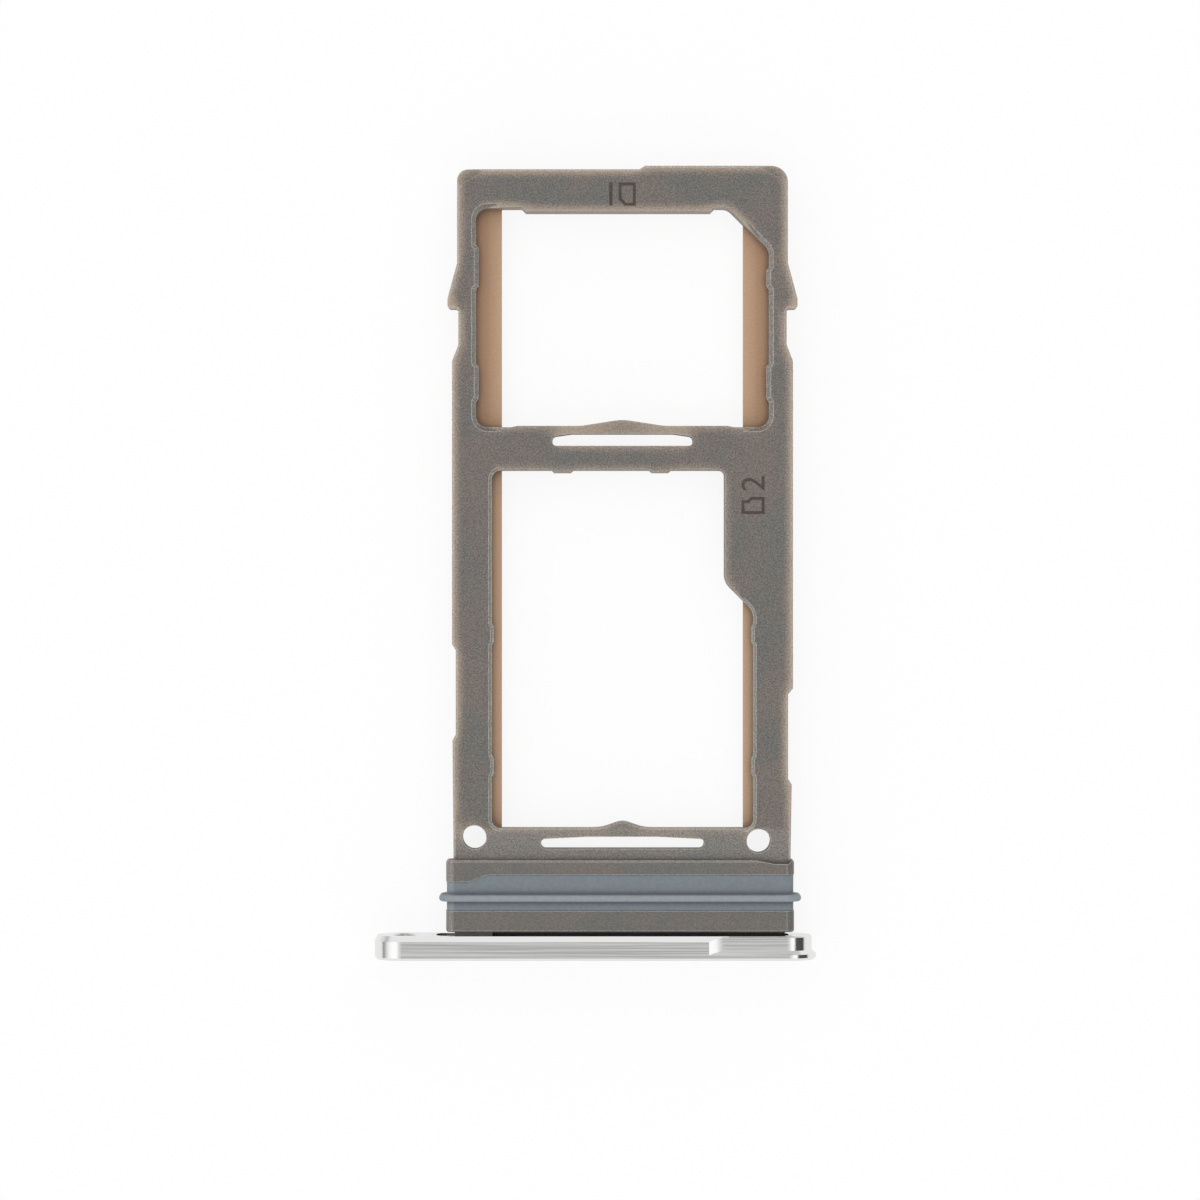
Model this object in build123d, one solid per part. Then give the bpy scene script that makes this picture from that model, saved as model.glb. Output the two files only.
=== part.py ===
from build123d import *
import os
from math import asin, atan, atan2, degrees, hypot, sqrt, tan

# Phone card tray: a moulded frame with a bay for a SIM card and a bay for a small memory card,
# a silicone seal round its neck and a machined end plate that closes the slot in the phone.
# Sizes are millimetres. X runs across the tray, Y from the end plate to the tip and Z upwards,
# with the card side on top. The pieces are drawn with X = 0 on the frame's centre line and
# Y = 0 on the end plate's outer face, and are moved to the tray's bottom centre at the end.

# Cards that the bays take, and how they fit there
sim_width = 12.3
sim_length = 8.8
sim_clip = 1.65
sim_side_gap = 0.045
sim_end_gap = 0.154
sim_clip_gap = 0.14
memory_width = 11.0
memory_length = 15.0
memory_narrow = 9.7
memory_side_gap = 0.047
memory_narrow_gap = 0.185
memory_end_gap = 0.025

# End plate
plate_length = 19.03
plate_height = 2.4
plate_thickness = 1.04
plate_offset = -1.166
face_chamfer = 0.1
rear_chamfer_depth = 0.235
rear_chamfer_inset = 0.12
flange_thickness = 0.25
step_length = 4.64
step_ramp = 0.86
step_inset = 0.19
step_depth = 0.11
step_slope = 0.17
step_edge = 0.06
eject_diameter = 1.17
eject_from_end = 1.29
eject_chamfer = 0.06

# Tongue of the neck and the plate's pocket for it
pocket_length = 15.18
pocket_height = 1.5
pocket_depth = 0.6
pocket_offset = -0.43
pocket_corner = 0.45
tongue_width = 14.2
tongue_height = 0.6
key_width = 1.6

# Neck
neck_gap = 0.16
neck_length = 3.08
neck_width = 14.97
neck_height = 1.7
neck_offset = -0.103
neck_corner = 0.4
neck_edge = 0.06
nick_from_side = 0.25
nick_width = 0.6
nick_depth = 0.16
nick_ramp = 0.75

# Seal ring, with a band that is shorter at the left end
band_from_neck = 0.91
band_length = 1.55
band_thickness = 0.3
band_sink = 0.03
band_inner_corner = 0.12
band_short = 0.3
band_short_width = 1.0
band_ramp = 0.79
band_ramp_radius = 0.5
lip_from_band = 0.41
lip_thickness = 0.29
lip_height = 0.3
lip_round = 0.12

# Frame
frame_thickness = 1.1
frame_width = 14.675
frame_edge = 0.08
lower_bar = 1.365
crossbar = 1.91
tip_bar = 1.665
tip_width = 14.235
tip_step = 0.15
tip_step_from_centre = 0.73
tip_step_ramp = 0.25
tip_left_radius = 0.47
tip_right_radius = 0.69
tip_straight = 4.025
tip_facet_length = 0.76
tip_facet_width = 1.35
tip_facet_drop = 0.22
barb_width = 15.065
barb_lead = 1.54
barb_land = 0.43
barb_radius = 0.15
waist_width = 14.13
waist_length = 1.56
waist_ramp = 0.7
edge_blend = 0.3

# Shallow notches along the outer edges, and how far in the rails run between them and the neck
notch_length = 3.88
notch_ramp = 0.25
left_notch_depth = 0.16
left_notch_from_neck = 5.15
left_heel_inset = 0.07
left_shoulder_inset = 0.02
right_notch_depth = 0.21
right_notch_from_neck = 3.25
right_heel_inset = 0.11
right_shoulder_inset = 0.055

# Card bays, with the shoulder's rounding as a share of its depth
ledge_thickness = 0.25
ledge_opening = 10.42
lead_in_run_out = 0.6
bay_edge = 0.04
rib_ramp = 0.15
sim_lead_in = 0.18
sim_corner = 0.5
sim_clip_radius = 0.55
sim_rib_height = 0.115
sim_rib_length = 1.68
sim_long_rib_length = 1.95
sim_short_rib_length = 0.98
sim_rib_low = 1.03
sim_rib_high = 5.87
sim_stop_height = 0.176
sim_stop_width = 7.95
sim_stop_offset = -0.19
sim_relief = 0.06
sim_relief_width = 1.78
sim_relief_ramp = 0.28
memory_lead_in = 0.12
memory_corner = 0.38
memory_narrow_corner = 0.23
memory_narrow_length = 4.81
memory_shoulder_round = 0.64
memory_rib_height = 0.085
memory_rib_length = 0.95
memory_rib_low = 2.2
memory_rib_high = 7.88
memory_stop_height = 0.1
memory_stop_width = 0.93
memory_stop_left = -2.59
memory_stop_right = 1.62

# Spring arms, each a thin web between its bay and a slot, with a bump that pushes the card.
# The slots' ends are rounded by a share of half their height.
slot_end_round = 0.95
bump_foot_round = 2.0
sim_spring = 0.34
sim_slot_length = 6.04
sim_slot_width = 0.515
sim_slot_drop = 0.12
sim_slot_run = 0.85
sim_bump_half = 1.79
sim_bump_round = 2.3
sim_bump_height = 0.251
memory_spring = 0.362
memory_slot_length = 7.02
memory_slot_width = 0.518
memory_slot_drop = 0.1
memory_slot_run = 2.0
memory_bump_half = 0.916
memory_bump_round = 0.75
memory_bump_height = 0.28

# Tooling holes beside the lower slot
hole_diameter = 1.03
left_hole_from_edge = 0.965
left_hole_from_neck = 0.975
right_hole_from_edge = 1.477
right_hole_from_neck = 0.815

# Shared by every edge and cut
chamfer_angle = 45
cut_margin = 1.0

# Heights, with every piece centred on the end plate
mid_height = plate_height / 2
frame_bottom = mid_height - frame_thickness / 2
frame_top = mid_height + frame_thickness / 2
ledge_top = frame_bottom + ledge_thickness
above_all = plate_height + cut_margin
below_all = -cut_margin

# Stations along Y
neck_start = plate_thickness + neck_gap
neck_end = neck_start + neck_length
band_start = neck_start + band_from_neck
band_end = band_start + band_length
lip_start = band_start + lip_from_band
lip_end = lip_start + lip_thickness
tongue_end = plate_thickness - pocket_depth
memory_bottom = neck_end + lower_bar
memory_span = memory_stop_height + memory_length + memory_end_gap + memory_bump_height
memory_top = memory_bottom + memory_span
sim_bottom = memory_top + crossbar
sim_span = sim_stop_height + sim_length + sim_end_gap + sim_bump_height
sim_top = sim_bottom + sim_span
tip_left = sim_top + tip_bar
tip_right = tip_left + tip_step
barb_lead_end = tip_left - tip_straight
barb_peak = barb_lead_end - barb_lead
barb_base = barb_peak - barb_land
waist_end = barb_base - waist_length
waist_start = waist_end - waist_ramp

# Places across X
sim_half = sim_width / 2 + sim_side_gap + sim_rib_height
memory_half = memory_width / 2 + memory_side_gap + memory_rib_height
memory_narrow_wall = memory_narrow - memory_width / 2 + memory_narrow_gap
neck_left = neck_offset - neck_width / 2
neck_right = neck_offset + neck_width / 2
plate_left = plate_offset - plate_length / 2
plate_right = plate_offset + plate_length / 2


def rounded_face(*corners):
    """Face inside a closed outline of (x, y, radius) corners."""
    points = [(x, y) for x, y, radius in corners]
    radii = [radius for x, y, radius in corners]
    return make_face(FilletPolyline(*points, radius=radii, close=True))


def upwards(sketch, bottom, top):
    """Solid between two heights from a sketch in X and Y."""
    return extrude(Plane.XY.offset(bottom) * sketch, top - bottom)


def lengthwise(sketch, start, end):
    """Solid between two Y stations from a sketch in X and height above the middle."""
    plane = Plane(origin=(0, start, mid_height), x_dir=(1, 0, 0), z_dir=(0, -1, 0))
    return extrude(plane * sketch, start - end)


def pad(width, height, ramp):
    """Low pad with sloped ends, standing on the X axis."""
    foot = width / 2 + ramp
    return make_face(Polyline((-foot, 0), (foot, 0), (width / 2, height), (-width / 2, height), close=True))


def bump(half, height, top_round):
    """Ridge with straight flanks, a rounded top and soft feet, on a root below the X axis."""
    centre = height - top_round
    slope = atan2(centre, half) + asin(top_round / hypot(half, centre))
    far = half + bump_foot_round
    return rounded_face(
        (-far, -height, 0),
        (far, -height, 0),
        (far, 0, 0),
        (half, 0, bump_foot_round),
        (0, half * tan(slope), top_round),
        (-half, 0, bump_foot_round),
        (-far, 0, 0),
    )


def on_left_wall(sketch, wall, along):
    """Puts a pad on a wall that faces right."""
    return Pos(wall, along) * Rot(0, 0, -90) * sketch


def on_right_wall(sketch, wall, along):
    """Puts a pad on a wall that faces left."""
    return Pos(wall, along) * Rot(0, 0, 90) * sketch


def frame_side(tip, tip_radius, notch_from_neck, notch_depth, heel_inset, shoulder_inset):
    """Corners of one side of the frame's outline, from its root in the neck to the tip."""
    root = (band_end + neck_end) / 2
    side = frame_width / 2
    notch_start = neck_end + notch_from_neck
    notch_end = notch_start + notch_length
    return [
        (side - heel_inset, root, 0),
        (side - shoulder_inset, notch_start, 0),
        (side - notch_depth, notch_start + notch_ramp, 0),
        (side - notch_depth, notch_end, 0),
        (side, notch_end + notch_ramp, 0),
        (side, waist_start, edge_blend),
        (waist_width / 2, waist_end, edge_blend),
        (waist_width / 2, barb_base, barb_radius),
        (barb_width / 2, barb_base, barb_radius),
        (barb_width / 2, barb_peak, edge_blend),
        (tip_width / 2, barb_lead_end, edge_blend),
        (tip_width / 2, tip, tip_radius),
    ]


def frame_outline():
    """Rails, barbs and tip as one face, without the bays."""
    right = frame_side(
        tip_right,
        tip_right_radius,
        right_notch_from_neck,
        right_notch_depth,
        right_heel_inset,
        right_shoulder_inset,
    )
    left = frame_side(
        tip_left,
        tip_left_radius,
        left_notch_from_neck,
        left_notch_depth,
        left_heel_inset,
        left_shoulder_inset,
    )
    step = [
        (tip_step_from_centre + tip_step_ramp, tip_right, 0),
        (tip_step_from_centre, tip_left, 0),
    ]
    return rounded_face(*right, *step, *[(-x, y, radius) for x, y, radius in reversed(left)])


def tip_facet(tip):
    """Sloped lead-in on the card side of the left tip corner."""
    crease = Vector(tip_facet_width, tip_facet_length, 0)
    outward = Vector(-tip_facet_length, tip_facet_width, 0)
    back_point = (-tip_width / 2, tip - tip_facet_length, frame_top)
    reach = tip_facet_width * tip_facet_length / crease.length
    wedge = make_face(Polyline((0, 0), (2 * reach, 0), (2 * reach, -2 * tip_facet_drop), close=True))
    return extrude(Plane(back_point, outward, crease) * wedge, 2 * crease.length, both=True)


def sim_walls():
    """Plain outline of the SIM bay, with the clipped corner."""
    clip = sim_clip + sim_half - sim_width / 2 + sim_stop_height - sim_clip_gap * sqrt(2)
    floor = sim_bottom - sim_relief
    return rounded_face(
        (-sim_half, floor, sim_corner),
        (sim_half, floor, sim_corner),
        (sim_half, sim_top - clip, sim_clip_radius),
        (sim_half - clip, sim_top, sim_clip_radius),
        (-sim_half, sim_top, sim_corner),
    )


def sim_sides():
    """SIM bay with the ribs on its side walls."""
    rib = pad(sim_rib_length - 2 * rib_ramp, sim_rib_height, rib_ramp)
    long_rib = pad(sim_long_rib_length - 2 * rib_ramp, sim_rib_height, rib_ramp)
    short_rib = pad(sim_short_rib_length - 2 * rib_ramp, sim_rib_height, rib_ramp)
    low = sim_bottom + sim_rib_low + sim_rib_length / 2
    high = sim_bottom + sim_rib_high
    sides = sim_walls()
    sides -= on_left_wall(rib, -sim_half, low)
    sides -= on_right_wall(rib, sim_half, low)
    sides -= on_left_wall(long_rib, -sim_half, high + sim_long_rib_length / 2)
    return sides - on_right_wall(short_rib, sim_half, high + sim_short_rib_length / 2)


def sim_bay():
    """SIM bay with its ribs, stop and spring bump left standing."""
    stop = Rot(0, 0, 180) * pad(sim_stop_width, sim_stop_height, sim_stop_height)
    spring = pad(2 * (sim_half - sim_relief_width), sim_relief, sim_relief_ramp)
    bay = sim_sides() - Pos(sim_stop_offset, sim_top) * stop
    bay -= Pos(0, sim_bottom - sim_relief) * spring
    return bay - Pos(0, sim_bottom) * bump(sim_bump_half, sim_bump_height, sim_bump_round)


def memory_walls():
    """Plain outline of the memory card bay, narrower past the shoulder on its right."""
    shoulder = memory_top - memory_narrow_length
    step = memory_half - memory_narrow_wall
    radius = memory_shoulder_round * step
    return rounded_face(
        (-memory_half, memory_bottom, memory_corner),
        (memory_half, memory_bottom, memory_corner),
        (memory_half, shoulder - step, radius),
        (memory_narrow_wall, shoulder, radius),
        (memory_narrow_wall, memory_top, memory_narrow_corner),
        (-memory_half, memory_top, memory_corner),
    )


def memory_sides():
    """Memory card bay with the ribs on its side walls."""
    rib = pad(memory_rib_length - 2 * rib_ramp, memory_rib_height, rib_ramp)
    sides = memory_walls()
    for rise in (memory_rib_low, memory_rib_high):
        along = memory_bottom + rise + memory_rib_length / 2
        sides -= on_left_wall(rib, -memory_half, along)
        sides -= on_right_wall(rib, memory_half, along)
    return sides


def memory_bay():
    """Memory card bay with its ribs, stops and spring bump left standing."""
    stop_width = memory_stop_width - 2 * memory_stop_height
    stop = Rot(0, 0, 180) * pad(stop_width, memory_stop_height, memory_stop_height)
    bay = memory_sides()
    for across in (memory_stop_left, memory_stop_right):
        bay -= Pos(across, memory_top) * stop
    return bay - Pos(0, memory_bottom) * bump(memory_bump_half, memory_bump_height, memory_bump_round)


def full_length(width):
    """Strip along the frame's centre line, past both ends of the bays."""
    return Pos(0, (neck_end + tip_left) / 2) * Rectangle(width, tip_left - neck_end)


def sloped_mouth(outline, depth):
    """Chamfer round a bay's upper edge, as the space that it takes away."""
    return extrude(Plane.XY.offset(frame_top - depth) * outline, depth, taper=-chamfer_angle)


def between_lead_ins(lead_in):
    """Block over a bay's middle, with sloped sides on which the lead-ins run out."""
    half = ledge_opening / 2
    top = frame_top - mid_height
    block = Polyline(
        (-half - 2 * lead_in_run_out, top - 2 * lead_in),
        (half + 2 * lead_in_run_out, top - 2 * lead_in),
        (half - lead_in_run_out, top + lead_in),
        (lead_in_run_out - half, top + lead_in),
        close=True,
    )
    return lengthwise(make_face(block), neck_end, tip_left)


def bay_cut(bay, sides, lead_in):
    """Space of one bay: down to the ledges, right through between them, with lead-ins along its sides."""
    recess = upwards(bay, ledge_top, frame_top) + sloped_mouth(bay, bay_edge)
    through = upwards(bay & full_length(ledge_opening), frame_bottom, ledge_top)
    return recess + through + (sloped_mouth(sides, lead_in) - between_lead_ins(lead_in))


def spring_slot(length, width, web_edge, drop, run):
    """Slot behind a spring arm, lower towards its ends so that the arm is thicker there."""
    half = length / 2
    ends = web_edge - drop
    radius = slot_end_round * (width - drop) / 2
    slot = rounded_face(
        (-half, web_edge - width, radius),
        (half, web_edge - width, radius),
        (half, ends, radius),
        (half - run, web_edge, edge_blend),
        (run - half, web_edge, edge_blend),
        (-half, ends, radius),
    )
    return upwards(slot, frame_bottom, frame_top)


def tooling_holes():
    """The two round holes right through the lower bar's ends."""
    left = Pos(left_hole_from_edge - frame_width / 2, neck_end + left_hole_from_neck)
    right = Pos(frame_width / 2 - right_hole_from_edge, neck_end + right_hole_from_neck)
    disc = Circle(hole_diameter / 2)
    return upwards(left * disc + right * disc, frame_bottom, frame_top)


def neck_section(grow, corner):
    """Rounded section of the neck, grown or shrunk all round."""
    return Pos(neck_offset, 0) * RectangleRounded(neck_width + 2 * grow, neck_height + 2 * grow, corner)


def band_area():
    """Upright block that holds the seal's band, seen from above with its short left end."""
    left = neck_left - lip_height
    right = neck_right + lip_height
    bend = neck_left + band_short_width
    area = rounded_face(
        (left, band_start, 0),
        (right, band_start, 0),
        (right, band_end, 0),
        (bend + band_ramp, band_end, band_ramp_radius),
        (bend, band_end - band_short, band_ramp_radius),
        (left, band_end - band_short, 0),
    )
    return upwards(area, below_all, above_all)


def neck_core():
    """Neck under the seal's band."""
    return neck_section(-band_thickness, band_inner_corner)


def neck():
    """Neck with its groove for the seal and the tongue that goes into the end plate."""
    body = lengthwise(neck_section(0, neck_corner), neck_start, neck_end)
    ends = body.faces().sort_by(Axis.Y)[0].edges() + body.faces().sort_by(Axis.Y)[-1].edges()
    body = chamfer(ends, neck_edge)
    groove = lengthwise(neck_section(lip_height, neck_corner) - neck_core(), band_start, band_end)
    body -= groove & band_area()
    tongue = Pos(neck_offset, 0) * Rectangle(tongue_width, tongue_height)
    key_middle = neck_offset - tongue_width / 2 + key_width / 2
    tongue += Pos(key_middle, 0) * Rectangle(key_width, pocket_height)
    return body + lengthwise(tongue, tongue_end, neck_start + neck_edge)


def neck_nick():
    """Small dip in the neck's rear edge above the frame, near its right end."""
    right = neck_right - nick_from_side
    left = right - nick_width
    low = neck_end - nick_depth
    dip = rounded_face(
        (left - nick_ramp, neck_end, 0),
        (left, low, edge_blend),
        (right, low, 0),
        (right + nick_depth, neck_end, 0),
    )
    return upwards(dip, frame_top, above_all)


def tray_frame():
    """The whole plastic moulding."""
    body = upwards(frame_outline(), frame_bottom, frame_top)
    rims = body.faces().sort_by(Axis.Z)[0].edges() + body.faces().sort_by(Axis.Z)[-1].edges()
    body = chamfer(rims, frame_edge)
    body -= tip_facet(tip_left)
    body -= mirror(tip_facet(tip_right), Plane.YZ)
    body += neck() - neck_nick()
    body -= bay_cut(sim_bay(), sim_sides(), sim_lead_in)
    body -= bay_cut(memory_bay(), memory_sides(), memory_lead_in)
    sim_web = sim_bottom - sim_spring
    memory_web = memory_bottom - memory_spring
    body -= spring_slot(sim_slot_length, sim_slot_width, sim_web, sim_slot_drop, sim_slot_run)
    body -= spring_slot(
        memory_slot_length, memory_slot_width, memory_web, memory_slot_drop, memory_slot_run
    )
    return body - tooling_holes()


def seal_ring():
    """Silicone band in the neck's groove, with one rounded lip."""
    band_section = neck_section(-band_sink, neck_corner - band_sink) - neck_core()
    band = lengthwise(band_section, band_start, band_end) & band_area()
    lip = lengthwise(neck_section(lip_height, neck_corner + lip_height), lip_start, lip_end)
    rims = lip.faces().sort_by(Axis.Y)[0].edges() + lip.faces().sort_by(Axis.Y)[-1].edges()
    lip = fillet(rims, lip_round)
    return band + (lip - lengthwise(neck_core(), band_start, band_end))


def plate_outline(station, way, inset, depth):
    """Outline of the end plate at a Y station, facing one way, shortened at its ends and lowered."""
    plane = Plane(origin=(plate_offset, station, mid_height), x_dir=(-way, 0, 0), z_dir=(0, way, 0))
    return plane * SlotOverall(plate_length - 2 * inset, plate_height - 2 * depth)


def plate_layer(start, end, taper, inset=0.0, depth=0.0):
    """Layer of the end plate from one Y station to another, tapered towards its end."""
    way = 1 if end > start else -1
    return extrude(plate_outline(start, way, inset, depth), abs(end - start), taper=taper)


def plate_boss():
    """Full-height rear of the plate, ending in the cutter's run-out towards the right end."""
    chamfer_start = plate_thickness - rear_chamfer_depth
    slope = degrees(atan(rear_chamfer_inset / rear_chamfer_depth))
    boss = plate_layer(flange_thickness, chamfer_start, 0)
    boss += plate_layer(chamfer_start, plate_thickness, slope)
    half = plate_height / 2
    start = plate_right - step_length
    floor = start + step_ramp
    run_out = TangentArc((floor, half - step_depth), (start, half), tangent=(-1, 0))
    rest = Polyline(run_out @ 1, (plate_left, half), (plate_left, 0), (floor, 0), run_out @ 0)
    upper = make_face([run_out, rest])
    kept = upper + mirror(upper, Plane.XZ)
    return boss & lengthwise(kept, flange_thickness, plate_thickness)


def end_plate():
    """Machined plate with rounded ends, eject hole, stepped right end and rear pocket."""
    plate = plate_layer(face_chamfer, 0, chamfer_angle)
    plate += plate_layer(face_chamfer, flange_thickness, 0)
    step_start = flange_thickness + step_slope
    step_end = plate_thickness - step_edge
    rim = plate_outline(flange_thickness, 1, 0, 0)
    plate += loft([rim, plate_outline(step_start, 1, step_inset, step_depth)], ruled=True)
    plate += plate_layer(step_start, step_end, 0, step_inset, step_depth)
    plate += plate_layer(step_end, plate_thickness, chamfer_angle, step_inset, step_depth)
    plate += plate_boss()
    pocket = Pos(pocket_offset, 0) * RectangleRounded(pocket_length, pocket_height, pocket_corner)
    plate -= lengthwise(pocket, tongue_end, plate_thickness)
    eject_x = plate_left + eject_from_end
    plate -= lengthwise(Pos(eject_x, 0) * Circle(eject_diameter / 2), 0, plate_thickness)
    for start, way in ((0, 1), (plate_thickness, -1)):
        plane = Plane(origin=(eject_x, start, mid_height), x_dir=(1, 0, 0), z_dir=(0, way, 0))
        mouth = plane * Circle(eject_diameter / 2 + eject_chamfer)
        plate -= extrude(mouth, eject_chamfer, taper=chamfer_angle)
    return plate


to_bottom_centre = Pos(-plate_offset, -tip_right / 2, 0)
os.makedirs("parts", exist_ok=True)
export_step(to_bottom_centre * tray_frame(), "parts/tray_frame.step")
export_step(to_bottom_centre * seal_ring(), "parts/seal_ring.step")
export_step(to_bottom_centre * end_plate(), "parts/end_plate.step")
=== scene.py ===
"""Phone card tray in a white studio: a moulded frame, a silicone seal and a machined end plate."""
import math
from types import SimpleNamespace

import bmesh
import bpy
from bpy.props import FloatProperty, FloatVectorProperty, PointerProperty
from mathutils import Matrix, Vector


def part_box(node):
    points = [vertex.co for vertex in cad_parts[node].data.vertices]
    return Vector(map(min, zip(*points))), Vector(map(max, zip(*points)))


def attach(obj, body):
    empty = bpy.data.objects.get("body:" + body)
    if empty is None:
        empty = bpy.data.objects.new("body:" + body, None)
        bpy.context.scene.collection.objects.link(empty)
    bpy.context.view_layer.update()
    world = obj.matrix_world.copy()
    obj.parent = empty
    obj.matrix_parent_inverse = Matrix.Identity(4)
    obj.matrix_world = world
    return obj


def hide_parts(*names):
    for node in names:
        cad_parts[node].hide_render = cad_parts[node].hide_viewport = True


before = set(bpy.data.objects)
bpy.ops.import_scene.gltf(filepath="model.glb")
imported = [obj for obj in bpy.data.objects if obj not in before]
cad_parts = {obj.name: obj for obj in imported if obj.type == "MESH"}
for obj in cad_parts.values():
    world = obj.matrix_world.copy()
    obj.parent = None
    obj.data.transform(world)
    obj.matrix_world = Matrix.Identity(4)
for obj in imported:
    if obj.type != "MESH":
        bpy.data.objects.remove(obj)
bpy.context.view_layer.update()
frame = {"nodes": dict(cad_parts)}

bl_info = {
    "name": "Card Tray",
    "version": (1, 0, 0),
    "blender": (4, 5, 0),
    "location": "3D View > Sidebar > Card Tray",
    "description": "Dresses the packed card tray: plastic frame, silicone seal, aluminium plate and stage",
    "category": "Object",
}

MM = 0.001
BODY = "root"
FRAME_NODE = "tray_frame"
SEAL_NODE = "seal_ring"
PLATE_NODE = "end_plate"

# How far a face looks up: 1 is level, 0 is a wall
WALL = (0.6, 0.4)
STEEP = (0.5, 0.3)
LEVEL = (0.5, 0.9)
SLOPE_FOOT = (0.5, 0.6)
SLOPE_TOP = (0.95, 0.85)
TILTED_UP = (0.5, 0.7)
FLAT = (0.986, 0.9998)

# How far a face looks right or towards the tip
NECK_LEFT = (-0.08, -0.36)
NECK_UPRIGHT = (-1.0, -0.45, 0.5, 1.0)
NECK_RIGHT = (0.1, 0.26, 0.06)
NECK_RIGHT_SHARE = 0.7
SEAL_LEFT = (-0.05, -0.36)
SEAL_RIGHT = (0.1, 0.5)
TILTED_REAR = (0.2, 0.35)

# Noise values at the two ends of a pattern
PATCH_NOISE = (0.38, 0.62)
GRAIN_NOISE = (0.3, 0.7)
DULL_NOISE = (0.2, 0.8)
STREAK_NOISE = (0.34, 0.66)
INK_NOISE = (0.35, 0.75)
FINE_DETAIL = 3.0

# Thinness of the plastic: 0 is solid, 1 is a free edge
EDGE_GLOW = (0.03, 0.5)
EDGE_GLOW_POWER = 1.25
LEDGE_THIN = (0.3, 0.5)
LEDGE_TAN = (0.5, 0.74)
LEDGE_RIM = (0.84, 1.0)
UNDERSIDE_THICKER = 0.25

# Open share of the air round a point, and the shade from closed corners to open faces
PLASTIC_AIR = (0.35, 0.9, 0.6, 1.0)
SILICONE_AIR = (0.5, 0.95, 0.42, 1.0)
METAL_AIR = (0.3, 0.8, 0.2, 1.0)
LINE_AIR = (0.6, 0.9)
MEMORY_LINE_AIR = 0.2
AIR_SAMPLES = 16

# Distances from the walls, the ledges, the neck's end and the plate at which a look begins and ends
RAIL_FROM_WALL = (0.6 * MM, 0.2 * MM)
LEDGE_FROM_WALL = (-0.7 * MM, -0.4 * MM)
ABOVE_LEDGE = (0.04 * MM, 0.01 * MM)
BELOW_LEDGE = (-0.15 * MM, -0.22 * MM)
NECK_SOFT = (0.03 * MM, -0.03 * MM)
NECK_GLOW_RUN = (-0.2 * MM, 2.4 * MM)
PLATE_SHADE_RUN = (0.2 * MM, 0.14 * MM)
CHAMFER_RUN = (-0.32 * MM, -0.24 * MM)
RIGHT_END_RUN = (-0.6 * MM, -1.2 * MM)
FACE_RUN = (0.02 * MM, 0.005 * MM)

# Agreement of a rounded normal with the face's own, on a face and on its edge
EDGE_TURN = (0.9995, 0.985)
EDGE_SAMPLES = 8

# Grain that is left where light comes through the plastic
EVEN_SHARE = 0.6
EVEN_GRAIN = 0.3

# Share of the lip's height at which the seal turns paler with painted light
PROUD = (0.2, 0.95)

# Points in each of the ring's corners and in each rounding of its section
CORNER_POINTS = 24
ROUND_POINTS = 5

# Card signs, as shares of their height
SIM_SIGN = ((0, 0), (0.74, 0), (0.74, 0.72), (0.48, 1), (0, 1))
MEMORY_SIGN = ((0, 0), (0.74, 0), (0.74, 0.6), (0.6, 0.74), (0.6, 1), (0, 1))
INK_PALER = 1.5
MERGE = 0.002 * MM

# Dome of light, by height from the floor at 0 to overhead at 1, and by side
ZENITH = (0.9, 0.99)
HORIZON = (0.12, 0.4)
GAP_HEIGHTS = (0.1, 0.78, 0.04)
DIM_HEIGHTS = (0.8, 0.1)
SIDE_SPREAD = 1.6
RIGHT_SIDE = (0.05, 0.25)
LEFT_SIDE = (-0.05, -0.25)
WHITE = (1, 1, 1, 1)

SENSOR_WIDTH = 36.0
CLIP_NEAR = 10 * MM
CLIP_FAR = 10.0


def tone(red, green, blue):
    """Linear colour of an sRGB tone in steps of 255."""
    steps = [value / 255 for value in (red, green, blue)]
    return [s / 12.92 if s <= 0.04045 else ((s + 0.055) / 1.055) ** 2.4 for s in steps] + [1.0]


def colour(name, description, *steps):
    """Colour setting with its default in sRGB steps."""
    return FloatVectorProperty(
        name=name,
        description=description,
        subtype="COLOR",
        size=4,
        min=0,
        max=1,
        default=tone(*steps),
    )


def length(name, description, millimetres):
    """Length setting with its default in millimetres."""
    return FloatProperty(
        name=name, description=description, unit="LENGTH", precision=6, default=millimetres * MM
    )


def share(name, description, default):
    """Setting between nought and one."""
    return FloatProperty(
        name=name, description=description, subtype="FACTOR", min=0, max=1, default=default
    )


class BayPlaces(bpy.types.PropertyGroup):
    """Where the bays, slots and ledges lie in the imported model."""

    middle: length("Middle", "Frame's centre line beside the tray's middle", 1.166)
    ledge_top: length("Ledge top", "Height of the ledges' upper faces", 0.9)
    sim_wall: length("SIM walls", "From the centre line to the SIM bay's side walls", 6.31)
    sim_floor: length("SIM floor", "SIM bay's end towards the plate", 5.882)
    sim_end: length("SIM end", "SIM bay's end towards the tip", 15.263)
    memory_wall: length("Memory walls", "From the centre line to the memory bay's walls", 5.632)
    memory_floor: length("Memory floor", "Memory bay's end towards the plate", -11.433)
    memory_end: length("Memory end", "Memory bay's end towards the tip", 3.972)
    arm: length("Spring arms", "Thickness of the spring arms", 0.35)
    slot: length("Slots", "Width of the slots behind the arms", 0.52)
    slot_half: length("Slot reach", "From the centre line past the slots' ends", 3.6)
    neck_past_seal: length("Neck end", "From the seal to the end of the neck", 0.6)
    margin: length("Margin", "Width of the slopes round the bays", 0.3)
    soft: length("Softness", "Half the width over which one look goes over into the next", 0.15)


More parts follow.
